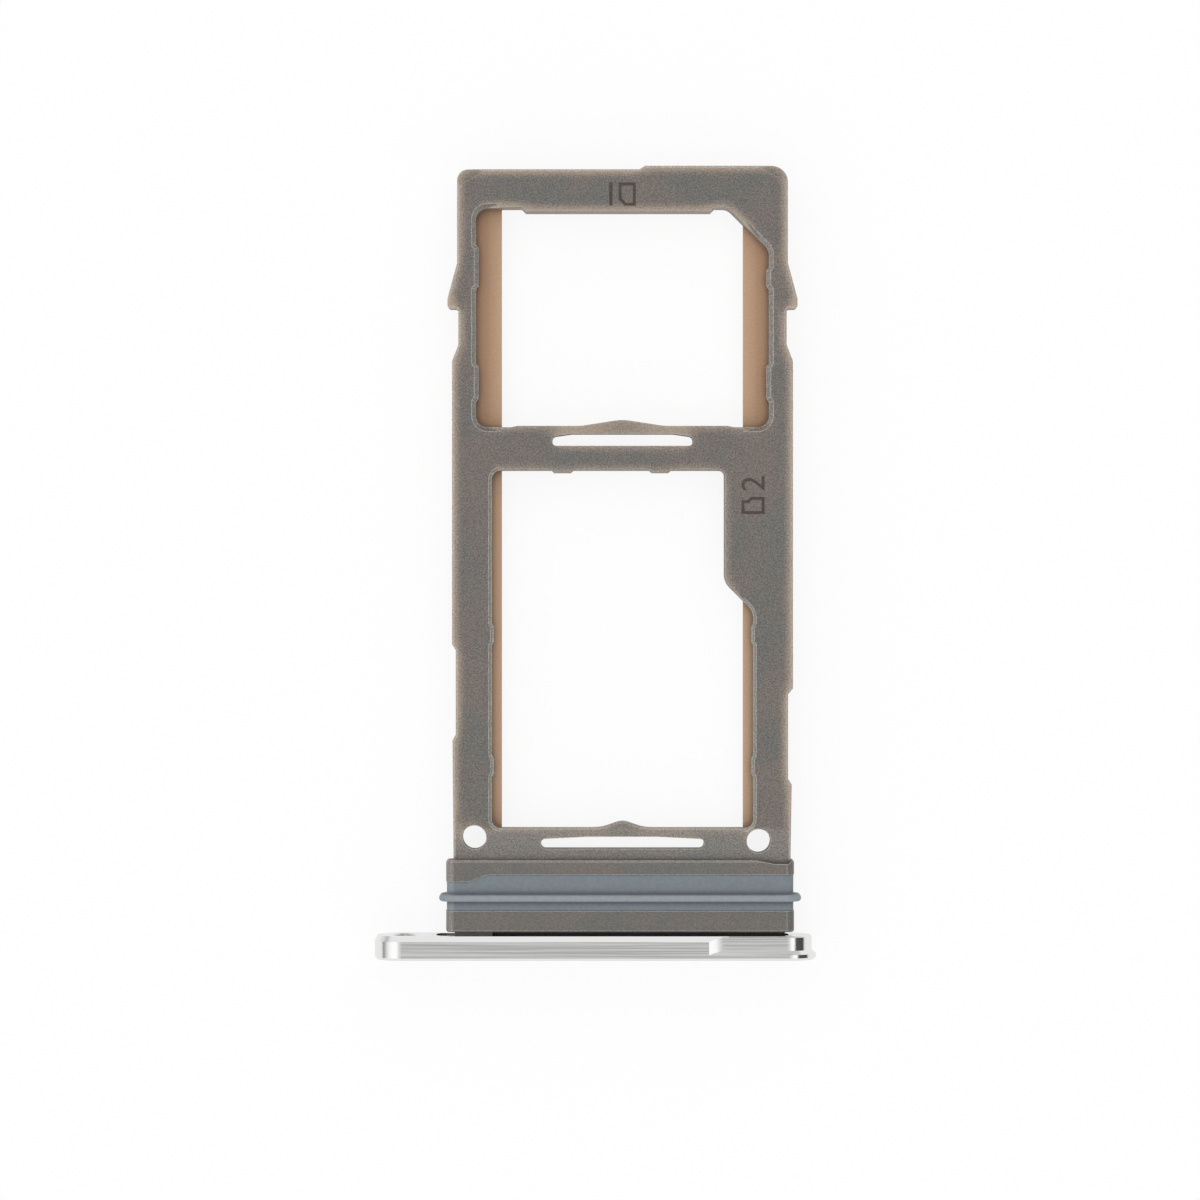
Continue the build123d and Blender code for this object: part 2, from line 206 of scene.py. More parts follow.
class FrameFinish(bpy.types.PropertyGroup):
    """Colours and texture of the plastic moulding, with the colours of its painted glow, painted
    highlights and painted slot shade.
    """

    plastic: colour("Plastic", "Thick parts of the moulding", 117, 109, 103)
    cool_patch: colour("Cool patches", "Bluish patches in the thick parts", 109, 107, 103)
    # Painted glow where light comes through thin plastic: free edges and walls, then the card ledges from
    # their darker feet to their pale free edges
    edge: colour("Edges", "Free edges, where light comes through the plastic", 172, 155, 139)
    rim_highlight: colour("Rims", "Sloped outer rims, which catch the light", 202, 186, 170)
    ledge_foot: colour("Ledge feet", "Card ledges beside the bay walls", 124, 94, 68)
    ledge: colour("Ledges", "Thin card ledges, where most light comes through", 176, 140, 111)
    ledge_rim: colour("Ledge rims", "Free edges of the ledges", 214, 184, 154)
    # Painted highlight along sharp edges, on the slopes beside the bays and on the neck's flanks, and
    # painted glow on the bar beside the neck
    painted_highlight: colour("Edge lines", "Sharp edges, worn smooth", 186, 184, 177)
    # Painted shade on the SIM slot's walls and painted light on the memory slot's walls
    sim_slot_shade: colour("SIM slot", "Walls of the slot beside the SIM bay", 116, 88, 72)
    memory_slot_light: colour("Memory slot", "Walls of the slot beside the memory bay", 178, 167, 156)
    glow_reach: length("Glow reach", "Plastic thinner than this lets light through", 0.6)
    shade_reach: length("Shade reach", "How far corners are shaded", 0.4)
    line_width: length("Line width", "Width of the lines along sharp edges", 0.05)
    grain: length("Grain", "Size of the spark-eroded grain", 0.06)
    patch: length("Patches", "Size of the bluish patches", 2.4)
    grain_depth: length("Grain depth", "Height of the grain", 0.006)
    roughness: share("Roughness", "Dullness of the moulded skin", 0.56)
    roughness_spread: share("Roughness spread", "How much the dullness follows the grain", 0.09)
    specular: share("Specular", "Shine of the moulded skin", 0.35)


class FrameLight(bpy.types.PropertyGroup):
    """How strongly the painted glow, painted highlights and painted shade show on the plastic moulding."""

    neck_glow: share("Neck glow", "Glow that is left at the neck", 0.1)
    rail_glow: share("Rail glow", "Glow that is left beside the bays' side walls", 0.35)
    bar_glow: share("Bar glow", "Glow that is left on the crossbar and the spring arms", 0.66)
    wall_glow: share("Wall glow", "Least glow on upright walls", 0.5)
    cool_end: share("Cool end", "Least strength of the cool patches beside the neck", 0.5)
    lower_bar: share("Lower bar", "How much paler the bar beside the neck is", 0.14)
    rim_highlight: share("Rims", "Strength of the sloped outer rims", 0.65)
    slope: share("Slopes", "Strength of the pale slopes beside the bays", 0.28)
    flank: share("Neck flanks", "Strength of the pale flanks of the neck", 0.33)
    slot: share("Slots", "Strength of the colour in the slots", 0.85)
    memory_ledge: share("Memory ledges", "How much paler the memory bay's ledges are", 0.33)
    line: share("Lines", "Strength of the lines along sharp edges", 0.6)
    bay_highlight: share("Bay lines", "Strength of those lines beside the bays", 0.75)
    speck: share("Grain contrast", "Light and dark of the grain on solid plastic", 0.34)
    even_speck: share("Even contrast", "The same where light comes through", 0.08)
    neck_speck: share("Neck contrast", "Share of the grain's contrast left on the neck", 0.7)
    plate_shade: share("Buried", "Brightness of the plastic next to the plate", 0.45)


class SealShape(bpy.types.PropertyGroup):
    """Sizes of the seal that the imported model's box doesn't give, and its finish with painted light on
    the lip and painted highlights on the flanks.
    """

    corner: length("Corner", "Radius of the neck's corners under the seal", 0.4)
    band_thickness: length("Band thickness", "Depth of the groove in the neck", 0.3)
    band_sink: length("Band sink", "How far the band lies under the neck's skin", 0.03)
    lip_from_band: length("Lip place", "From the band's plate side to the lip", 0.41)
    lip_thickness: length("Lip thickness", "Width of the lip", 0.29)
    lip_height: length("Lip height", "How far the lip stands out of the neck", 0.3)
    lip_round: length("Lip rounding", "Radius along the lip's edges", 0.12)
    foot_round: length("Foot rounding", "Radius in the corner between band and lip", 0.05)
    band_round: length("Band rounding", "Radius along the band's edges", 0.03)
    short_step: length("Short end", "How much shorter the band is at its left end", 0.3)
    short_width: length("Short width", "Length of the short end", 1.0)
    short_ramp: length("Short ramp", "Length of the slope behind the short end", 0.79)
    spacing: length("Spacing", "Distance between sections along the ring", 0.08)
    band: colour("Band", "Silicone in the groove", 122, 131, 138)
    lip: colour("Lip", "Silicone of the lip, where light comes through", 146, 153, 158)
    left_flank_highlight: share("Left flank", "How much paler the left side is", 0.85)
    right_flank_highlight: share("Right flank", "How much paler the right side is", 0.3)
    grain: length("Grain", "Size of the fine mottling", 0.14)
    grain_depth: length("Grain depth", "Height of the fine mottling", 0.004)
    mottle: share("Mottling", "Light and dark of the fine mottling", 0.06)
    shade_reach: length("Shade reach", "How far the corners beside the lip are shaded", 0.4)
    roughness: share("Roughness", "Dullness of the silicone", 0.58)
    roughness_spread: share("Roughness spread", "How much the dullness follows the grain", 0.08)
    specular: share("Specular", "Shine of the silicone", 0.35)


class PlateFinish(bpy.types.PropertyGroup):
    """Colours and tool marks of the machined plate, with a bright colour that also serves as painted
    highlight where the surface tilts.
    """

    bright: colour("Bright metal", "Polished ends", 240, 240, 239)
    chamfer: colour("Chamfer", "Milled rear chamfer", 216, 217, 216)
    milled: colour("Milled metal", "Flat sides", 205, 205, 204)
    streak: colour("Streaks", "Darker tool marks along the flat sides", 170, 170, 168)
    face: colour("Outer face", "Blasted outer face", 226, 226, 225)
    streak_width: length("Streak width", "Distance between tool marks", 0.035)
    streak_length: length("Streak length", "How far one tool mark runs", 6.0)
    blast_grain: length("Blasted grain", "Grain of the outer face", 0.06)
    mark_depth: length("Mark depth", "Depth of the tool marks and of the blasted grain", 0.003)
    shade_reach: length("Shade reach", "How far holes and corners are shaded", 0.8)
    milled_roughness: share("Side roughness", "Dullness of the milled sides", 0.34)
    bright_roughness: share("End roughness", "Dullness of the ends and chamfers", 0.13)
    face_roughness: share("Face roughness", "Dullness of the outer face", 0.46)


class MarkShape(bpy.types.PropertyGroup):
    """Plain bay numbers, lasered into the frame beside each bay."""

    height: length("Height", "Height of a bay number", 1.0)
    line: length("Line", "Width of the card sign's outline", 0.13)
    depth: length("Thickness", "How far a mark stands out of the frame's skin", 0.002)
    sim_x: length("SIM mark X", "Middle of the SIM bay's mark across the tray", 1.166)
    sim_y: length("SIM mark Y", "Middle of the SIM bay's mark along the tray", 15.85)
    memory_x: length("Memory mark X", "Middle of the memory bay's mark across the tray", 6.78)
    memory_y: length("Memory mark Y", "Middle of the memory bay's mark along the tray", 2.9)
    ink: colour("Mark", "Darkened plastic of a mark", 74, 64, 60)
    grain: length("Grain", "Size of the uneven spots in a mark", 0.1)
    grain_depth: length("Grain depth", "Height of the uneven spots", 0.004)
    roughness: share("Roughness", "Dullness of a mark", 0.65)
    roughness_spread: share("Roughness spread", "How much the dullness follows the grain", 0.1)
    specular: share("Specular", "Shine of a mark", 0.3)


class StageSetup(bpy.types.PropertyGroup):
    """Camera, light and floor."""

    camera_height: length("Camera height", "Camera above the frame's top face", 175.0)
    view_width: length("View width", "Width of the picture at the frame's top face", 51.613)
    focus_x: length("Camera X", "Camera beside the tray's middle", 0.198)
    focus_y: length("Camera Y", "Camera along the tray from its middle", -1.609)
    frame_top: length("Frame top", "Height of the frame's top face", 1.75)
    light: FloatProperty(name="Light", description="Level of the dome of light", min=0, default=1.13)
    overhead: share("Overhead", "Level of the dome straight above the tray", 0.8)
    horizon: share("Horizon", "Level of the dome near the floor", 0.6)
    dark_gap: share("Dark gap", "How dark the gap on the right is", 0.93)
    dim_side: share("Dim side", "How much dimmer the left side is near the floor", 0.5)
    floor_reach: length("Floor reach", "From the tray's middle to the floor's edges", 2000.0)
    floor_gap: length("Floor gap", "How far the floor lies under the tray", 0.02)
    floor_shade: share("Floor shade", "How much of the tray's shadow the floor shows", 0.13)
    floor_bright: share("Floor brightness", "How much light the floor throws at the tray", 0.86)
    floor_mirrored: share("Floor in metal", "Level of the floor in reflections", 0.9)


class CardTraySettings(bpy.types.PropertyGroup):
    """All settings of the card tray."""

    bays: PointerProperty(type=BayPlaces)
    frame: PointerProperty(type=FrameFinish)
    light: PointerProperty(type=FrameLight)
    seal: PointerProperty(type=SealShape)
    plate: PointerProperty(type=PlateFinish)
    marks: PointerProperty(type=MarkShape)
    stage: PointerProperty(type=StageSetup)


def feed(tree, socket, value):
    """Links an output to a socket, or sets the socket's own value."""
    if isinstance(value, bpy.types.NodeSocket):
        tree.links.new(value, socket)
    else:
        socket.default_value = value


def add(tree, kind, settings=None, **inputs):
    """New node with its settings, and its inputs by name (underscores for spaces) or place (in0)."""
    made = tree.nodes.new(kind)
    for name, value in (settings or {}).items():
        setattr(made, name, value)
    for name, value in inputs.items():
        if name.startswith("in") and name[2:].isdigit():
            socket = made.inputs[int(name[2:])]
        else:
            socket = made.inputs[name.replace("_", " ")]
        feed(tree, socket, value)
    return made


def maths(tree, operation, first, second=0.0):
    """Output of one math node."""
    return add(tree, "ShaderNodeMath", {"operation": operation}, in0=first, in1=second).outputs[0]


def ramp(tree, value, low, high, to_low=0.0, to_high=1.0):
    """Smooth step of a value between two limits."""
    made = add(
        tree,
        "ShaderNodeMapRange",
        {"interpolation_type": "SMOOTHSTEP"},
        Value=value,
        From_Min=low,
        From_Max=high,
        To_Min=to_low,
        To_Max=to_high,
    )
    return made.outputs["Result"]


def run(tree, value, start, limits, to_low=0.0, to_high=1.0):
    """Smooth step of a value between two distances from a start."""
    return ramp(tree, value, start + limits[0], start + limits[1], to_low, to_high)


def product(tree, *values):
    """All values multiplied."""
    result = values[0]
    for value in values[1:]:
        result = maths(tree, "MULTIPLY", result, value)
    return result


def within(tree, value, low, high, soft):
    """Mask between two limits, with soft ends."""
    rising = ramp(tree, value, low - soft, low + soft)
    return product(tree, rising, ramp(tree, value, high + soft, high - soft))


def lessened(tree, mask, kept):
    """One outside a mask, and the kept share inside it."""
    return ramp(tree, mask, 0.0, 1.0, 1.0, kept)


def blend(tree, factor, first, second, how="MIX"):
    """Mix of two colours."""
    made = tree.nodes.new("ShaderNodeMix")
    made.data_type = "RGBA"
    made.blend_type = how
    feed(tree, made.inputs["Factor"], factor)
    feed(tree, made.inputs["A"], first)
    feed(tree, made.inputs["B"], second)
    return made.outputs["Result"]


def greyed(tree, body, shade):
    """Colour times a grey shade."""
    grey = add(tree, "ShaderNodeCombineColor", Red=shade, Green=shade, Blue=shade).outputs["Color"]
    return blend(tree, 1.0, body, grey, "MULTIPLY")


def grain_noise(tree, vector, size, detail=2.0):
    """Noise whose features are about as large as size."""
    made = add(tree, "ShaderNodeTexNoise", Vector=vector, Scale=1 / size, Detail=detail)
    return made.outputs["Fac"]


def empty_tree(owner):
    """Cleared node tree of a material or a world."""
    owner.use_nodes = True
    owner.node_tree.nodes.clear()
    return owner.node_tree


def new_material(name):
    """Material with nothing but its shader."""
    made = bpy.data.materials.new(name)
    tree = empty_tree(made)
    shader = add(tree, "ShaderNodeBsdfPrincipled")
    output = add(tree, "ShaderNodeOutputMaterial")
    tree.links.new(shader.outputs["BSDF"], output.inputs["Surface"])
    return made, tree, shader


def dulled(tree, shader, speck, finish):
    """Gives a shader the finish's shine, with a roughness that follows the grain."""
    low = finish.roughness - finish.roughness_spread
    high = finish.roughness + finish.roughness_spread
    feed(tree, shader.inputs["Roughness"], ramp(tree, speck, *DULL_NOISE, low, high))
    shader.inputs["Specular IOR Level"].default_value = finish.specular


def bumped(tree, shader, height, depth):
    """Gives a shader a bump of that depth."""
    made = add(tree, "ShaderNodeBump", Height=height, Distance=depth, Strength=1.0)
    tree.links.new(made.outputs["Normal"], shader.inputs["Normal"])


def object_place(tree):
    """Object coordinates, whole and as three numbers."""
    place = add(tree, "ShaderNodeTexCoord").outputs["Object"]
    apart = add(tree, "ShaderNodeSeparateXYZ", Vector=place)
    return place, apart.outputs["X"], apart.outputs["Y"], apart.outputs["Z"]


def openness(tree, reach, inside):
    """Share of directions with nothing within reach, out in the air or inside the material."""
    settings = {"inside": inside, "only_local": True, "samples": AIR_SAMPLES}
    return add(tree, "ShaderNodeAmbientOcclusion", settings, Distance=reach).outputs["AO"]


def facing(tree):
    """How far a face looks right, towards the tip, and up or down."""
    normal = add(tree, "ShaderNodeNewGeometry").outputs["True Normal"]
    settings = {"vector_type": "NORMAL", "convert_from": "WORLD", "convert_to": "OBJECT"}
    turned = add(tree, "ShaderNodeVectorTransform", settings, Vector=normal).outputs[0]
    apart = add(tree, "ShaderNodeSeparateXYZ", Vector=turned)
    return apart.outputs["X"], apart.outputs["Y"], maths(tree, "ABSOLUTE", apart.outputs["Z"])


def sharp_edges(tree, width):
    """Mask along the edges, where a rounded normal leaves the face's own, for a painted highlight."""
    rounded = add(tree, "ShaderNodeBevel", {"samples": EDGE_SAMPLES}, Radius=width)
    own = add(tree, "ShaderNodeNewGeometry").outputs["Normal"]
    same = add(
        tree,
        "ShaderNodeVectorMath",
        {"operation": "DOT_PRODUCT"},
        in0=rounded.outputs["Normal"],
        in1=own,
    )
    return ramp(tree, same.outputs["Value"], *EDGE_TURN)


def beside_wall(tree, off, wall):
    """Mask along a bay's side walls, from its ledges out to its rails."""
    return product(tree, run(tree, off, wall, RAIL_FROM_WALL), run(tree, off, wall, LEDGE_FROM_WALL))


def frame_regions(tree, bays, x, y):
    """Masks of the moulding's parts, by their place in the plan."""
    soft, margin = bays.soft, bays.margin
    at = SimpleNamespace(slots=[])
    off = maths(tree, "ABSOLUTE", maths(tree, "SUBTRACT", x, bays.middle))
    in_sim = within(tree, y, bays.sim_floor, bays.sim_end, soft)
    at.in_memory = within(tree, y, bays.memory_floor, bays.memory_end, soft)
    by_sim = product(tree, beside_wall(tree, off, bays.sim_wall), in_sim)
    by_memory = product(tree, beside_wall(tree, off, bays.memory_wall), at.in_memory)
    at.beside = maths(tree, "MAXIMUM", by_sim, by_memory)
    round_sim = within(tree, y, bays.sim_floor - margin, bays.sim_end + margin, soft)
    round_memory = within(tree, y, bays.memory_floor, bays.memory_end + margin, soft)
    round_bays = maths(tree, "MAXIMUM", round_sim, round_memory)
    at.in_bays = product(tree, round_bays, run(tree, off, bays.sim_wall, RAIL_FROM_WALL))
    inner = within(tree, y, bays.memory_floor, bays.sim_floor + margin, soft)
    inner = product(tree, inner, run(tree, off, bays.sim_wall, (margin, -margin / 3)))
    by_slots = run(tree, off, bays.slot_half, (soft, -soft))
    arms = []
    for floor in (bays.sim_floor, bays.memory_floor):
        behind = floor - bays.arm
        arm = within(tree, y, behind, floor + 2 * soft, soft / 2)
        slot = within(tree, y, behind - bays.slot, behind, soft / 5)
        arms.append(product(tree, by_slots, arm))
        at.slots.append(product(tree, by_slots, slot))
    at.bars = maths(tree, "MAXIMUM", inner, maths(tree, "MAXIMUM", *arms))
    at.neck_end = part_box(SEAL_NODE)[1].y + bays.neck_past_seal
    at.on_neck = run(tree, y, at.neck_end, NECK_SOFT)
    at.lower_bar = within(tree, y, at.neck_end, bays.memory_floor, soft)
    return at


def neck_flanks(tree, right):
    """Mask of the painted highlight on the sloped sides of the neck, stronger on the left."""
    left_side = product(tree, ramp(tree, right, *NECK_LEFT), ramp(tree, right, *NECK_UPRIGHT))
    right_side = product(tree, within(tree, right, *NECK_RIGHT), NECK_RIGHT_SHARE)
    return maths(tree, "MAXIMUM", left_side, right_side)


def ledge_mask(tree, top, thin, z, up):
    """Mask on the thin card ledges, above and below."""
    under = run(tree, z, top, BELOW_LEDGE, 0.0, UNDERSIDE_THICKER)
    thin_enough = ramp(tree, maths(tree, "SUBTRACT", thin, under), *LEDGE_THIN)
    return product(tree, run(tree, z, top, ABOVE_LEDGE), ramp(tree, up, *LEVEL), thin_enough)


def ledge_tan(tree, finish, thin, paler):
    """Painted glow of light through the card ledges, dark at the foot and pale at the free edge."""
    tan = blend(tree, ramp(tree, thin, *LEDGE_TAN), finish.ledge_foot, finish.ledge)
    tan = blend(tree, ramp(tree, thin, *LEDGE_RIM), tan, finish.ledge_rim)
    return blend(tree, paler, tan, finish.ledge_rim)


def moulded_plastic(finish, light, bays):
    """Grey moulding with a painted tan glow where it is thin, painted highlights and painted shade in its
    corners.
    """
    made, tree, shader = new_material("moulded_plastic")
    place, x, y, z = object_place(tree)
    right, _, up = facing(tree)
    at = frame_regions(tree, bays, x, y)
    air = openness(tree, finish.shade_reach, False)
    # Painted glow: the thinner the plastic, the more light shows through it
    thin = maths(tree, "SUBTRACT", 1.0, openness(tree, finish.glow_reach, True))
    glow = product(
        tree,
        thin,
        run(tree, y, at.neck_end, NECK_GLOW_RUN, light.neck_glow, 1.0),
        lessened(tree, at.beside, light.rail_glow),
        lessened(tree, at.bars, light.bar_glow),
    )
    at_edge = maths(tree, "POWER", ramp(tree, glow, *EDGE_GLOW), EDGE_GLOW_POWER)
    lit = maths(tree, "MAXIMUM", at_edge, ramp(tree, up, *WALL, 0.0, light.wall_glow))
    sloped = product(tree, ramp(tree, up, *SLOPE_TOP), ramp(tree, up, *SLOPE_FOOT))
    # Painted highlight on the sloped outer rims, away from the bays and the neck
    off_bays = ramp(tree, at.in_bays, 0.0, 1.0, light.rim_highlight, 0.0)
    rims = product(tree, sloped, off_bays, lessened(tree, at.on_neck, 0.0))
    steep = ramp(tree, up, *STEEP)
    sim_slot_shade, memory_slot_light = [product(tree, slot, steep, light.slot) for slot in at.slots]
    on_ledge = ledge_mask(tree, bays.ledge_top, thin, z, up)
    memory_air = maths(tree, "ADD", air, product(tree, at.in_memory, MEMORY_LINE_AIR))
    # Painted highlight along sharp, open edges, stronger beside the bays
    lines = product(
        tree,
        sharp_edges(tree, finish.line_width),
        ramp(tree, memory_air, *LINE_AIR),
        ramp(tree, at.beside, 0.0, 1.0, light.line, light.bay_highlight),
    )
    patches = ramp(tree, grain_noise(tree, place, finish.patch), *PATCH_NOISE)
    cool_end = run(tree, y, bays.memory_floor, (bays.soft, -bays.soft), 0.0, light.cool_end)
    patches = maths(tree, "MAXIMUM", patches, cool_end)
    tan = ledge_tan(tree, finish, thin, product(tree, at.in_memory, light.memory_ledge))
    body = blend(tree, patches, finish.plastic, finish.cool_patch)
    # Painted light in order: glow on the bar beside the neck and on thin parts and walls, highlights on
    # rims, slopes and neck flanks, shade and light in the slots, glow on the ledges, highlights along
    # edges
    for mask, paint in (
        (product(tree, at.lower_bar, light.lower_bar), finish.painted_highlight),
        (lit, finish.edge),
        (rims, finish.rim_highlight),
        (product(tree, sloped, at.beside, light.slope), finish.painted_highlight),
        (product(tree, neck_flanks(tree, right), at.on_neck, light.flank), finish.painted_highlight),
        (sim_slot_shade, finish.sim_slot_shade),
        (memory_slot_light, finish.memory_slot_light),
        (on_ledge, tan),
        (lines, finish.painted_highlight),
    ):
        body = blend(tree, mask, body, paint)
    speck = grain_noise(tree, place, finish.grain)
    even = maths(tree, "MAXIMUM", on_ledge, product(tree, lit, EVEN_SHARE))
    swing = product(
        tree,
        ramp(tree, speck, *GRAIN_NOISE, -1.0, 1.0),
        ramp(tree, even, 0.0, 1.0, light.speck, light.even_speck),
        lessened(tree, at.on_neck, light.neck_speck),
    )
    # Painted shade on the plastic in the gap next to the plate
    plate_shade = run(tree, y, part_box(PLATE_NODE)[1].y, PLATE_SHADE_RUN, 1.0, light.plate_shade)
    shade = product(tree, maths(tree, "ADD", swing, 1.0), ramp(tree, air, *PLASTIC_AIR), plate_shade)
    feed(tree, shader.inputs["Base Color"], greyed(tree, body, shade))
    dulled(tree, shader, speck, finish)
    height = product(tree, speck, lessened(tree, even, EVEN_GRAIN))
    bumped(tree, shader, height, finish.grain_depth)
    return made


def moulded_silicone(shape):
    """Blue-grey silicone with painted light along the lip and on its flanks, and painted shade in the
    corners beside the lip.
    """
    made, tree, shader = new_material("moulded_silicone")
    place = object_place(tree)[0]
    right = facing(tree)[0]
    proud = add(tree, "ShaderNodeAttribute", {"attribute_name": "proud"}).outputs["Fac"]
    # Painted light on the lip, which stands proud, and painted highlights on the seal's left and right
    # flanks
    body = blend(tree, ramp(tree, proud, *PROUD), shape.band, shape.lip)
    left_side = ramp(tree, right, *SEAL_LEFT, 0.0, shape.left_flank_highlight)
    right_side = ramp(tree, right, *SEAL_RIGHT, 0.0, shape.right_flank_highlight)
    body = blend(tree, maths(tree, "MAXIMUM", left_side, right_side), body, shape.lip)
    speck = grain_noise(tree, place, shape.grain, FINE_DETAIL)
    mottled = ramp(tree, speck, *GRAIN_NOISE, 1 - shape.mottle, 1 + shape.mottle)
    air = openness(tree, shape.shade_reach, False)
    shade = product(tree, mottled, ramp(tree, air, *SILICONE_AIR))
    feed(tree, shader.inputs["Base Color"], greyed(tree, body, shade))
    dulled(tree, shader, speck, shape)
    bumped(tree, shader, speck, shape.grain_depth)
    return made


def machined_metal(finish):
    """Milled aluminium with tool marks along its flat sides, polished ends brightened further by a painted
    highlight where they tilt, and a blasted face.
    """
    made, tree, shader = new_material("machined_aluminium")
    place, x, y, _ = object_place(tree)
    _, along, up = facing(tree)
    low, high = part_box(PLATE_NODE)
    across = 1 / finish.streak_width
    stretched = add(
        tree,
        "ShaderNodeVectorMath",
        {"operation": "MULTIPLY"},
        in0=place,
        in1=(1 / finish.streak_length, across, across),
    )
    streaks = grain_noise(tree, stretched.outputs[0], 1.0, FINE_DETAIL)
    tilted = product(tree, ramp(tree, along, *TILTED_REAR), ramp(tree, up, *TILTED_UP))
    at_rear = run(tree, y, high.y, CHAMFER_RUN)
    on_chamfer = product(tree, tilted, at_rear)
    off_end = run(tree, x, high.x, RIGHT_END_RUN)
    on_slope = product(tree, tilted, maths(tree, "SUBTRACT", 1.0, at_rear), off_end)
    # Painted highlight: the metal turns bright where its smooth normal tilts off level
    normal = add(tree, "ShaderNodeNewGeometry").outputs["Normal"]
    upwards = add(tree, "ShaderNodeSeparateXYZ", Vector=normal).outputs["Z"]
    level = ramp(tree, maths(tree, "ABSOLUTE", upwards), *FLAT)
    on_flat = maths(tree, "MAXIMUM", level, on_slope)
    on_face = run(tree, y, low.y, FACE_RUN)
    side = blend(tree, ramp(tree, streaks, *STREAK_NOISE), finish.streak, finish.milled)
    body = blend(tree, on_flat, finish.bright, side)
    body = blend(tree, on_chamfer, body, finish.chamfer)
    body = blend(tree, on_face, body, finish.face)
    shade = ramp(tree, openness(tree, finish.shade_reach, False), *METAL_AIR)
    feed(tree, shader.inputs["Base Color"], greyed(tree, body, shade))
    rough = ramp(tree, on_flat, 0.0, 1.0, finish.bright_roughness, finish.milled_roughness)
    rough = add(tree, "ShaderNodeMix", Factor=on_face, A=rough, B=finish.face_roughness)
    feed(tree, shader.inputs["Roughness"], rough.outputs["Result"])
    shader.inputs["Metallic"].default_value = 1.0
    blast = grain_noise(tree, place, finish.blast_grain)
    height = add(tree, "ShaderNodeMix", Factor=on_face, A=streaks, B=blast)
    bumped(tree, shader, height.outputs["Result"], finish.mark_depth)
    return made


def lasered_ink(shape):
    """Plastic darkened by a laser, slightly uneven."""
    made, tree, shader = new_material("lasered_mark")
    speck = grain_noise(tree, object_place(tree)[0], shape.grain)
    pale = [min(1.0, value * INK_PALER) for value in shape.ink[:3]] + [1.0]
    body = blend(tree, ramp(tree, speck, *INK_NOISE), shape.ink, pale)
    feed(tree, shader.inputs["Base Color"], body)
    dulled(tree, shader, speck, shape)
    bumped(tree, shader, speck, shape.grain_depth)
    return made


def dress(node, material):
    """Gives a CAD node its finished material."""
    piece = frame["nodes"][node]
    if not piece.material_slots:
        raise RuntimeError(f"{node} has no material slot")
    for slot in piece.material_slots:
        slot.material = material


def on_root(piece):
    """Fixes a new piece to the tray's only body."""
    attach(piece, BODY)


SEAL_INPUTS = (
    "Width",
    "Height",
    "Corner",
    "Band length",
    "Band thickness",
    "Band sink",
    "Lip place",
    "Lip thickness",
    "Lip height",
    "Lip rounding",
    "Foot rounding",
    "Band rounding",
    "Short step",
    "Short end X",
    "Short ramp",
    "Spacing",
)


def seal_sweep():
    """Node tree that sweeps the seal's section round the neck."""
    tree = bpy.data.node_groups.new("seal_sweep", "GeometryNodeTree")
    sockets = tree.interface
    for name in SEAL_INPUTS:
        socket = sockets.new_socket(name=name, in_out="INPUT", socket_type="NodeSocketFloat")
        socket.subtype = "DISTANCE"
    sockets.new_socket(name="Centre", in_out="INPUT", socket_type="NodeSocketVector")
    sockets.new_socket(name="Material", in_out="INPUT", socket_type="NodeSocketMaterial")
    sockets.new_socket(name="Seal", in_out="OUTPUT", socket_type="NodeSocketGeometry")
    given = add(tree, "NodeGroupInput").outputs
    path = seal_path(tree, given)
    section = seal_section(tree, given)
    ring = add(tree, "GeometryNodeCurveToMesh", Curve=path, Profile_Curve=section).outputs["Mesh"]
    turned = add(tree, "GeometryNodeTransform", Geometry=ring, Rotation=(math.pi / 2, 0, 0))
    moved = add(
        tree, "GeometryNodeTransform", Geometry=turned.outputs[0], Translation=given["Centre"]
    )
    shaped = short_end(tree, given, moved.outputs[0])
    smooth = add(tree, "GeometryNodeSetShadeSmooth", Geometry=shaped).outputs[0]
    real = add(tree, "GeometryNodeRealizeInstances", Geometry=smooth).outputs[0]
    dressed = add(tree, "GeometryNodeSetMaterial", Geometry=real, Material=given["Material"])
    output = add(tree, "NodeGroupOutput")
    tree.links.new(dressed.outputs[0], output.inputs["Seal"])
    return tree


def seal_path(tree, given):
    """Rounded rectangle of the neck's skin."""
    box = add(
        tree,
        "GeometryNodeCurvePrimitiveQuadrilateral",
        Width=given["Width"],
        Height=given["Height"],
    )
    corners = add(
        tree,
        "GeometryNodeFilletCurve",
        {"mode": "POLY"},
        Curve=box.outputs[0],
        Count=CORNER_POINTS,
        Radius=given["Corner"],
    )
    even = add(
        tree,
        "GeometryNodeResampleCurve",
        {"mode": "LENGTH"},
        Curve=corners.outputs[0],
        Length=given["Spacing"],
    )
    normal = add(tree, "GeometryNodeSetCurveNormal", {"mode": "Z_UP"}, Curve=even.outputs[0])
    return normal.outputs[0]


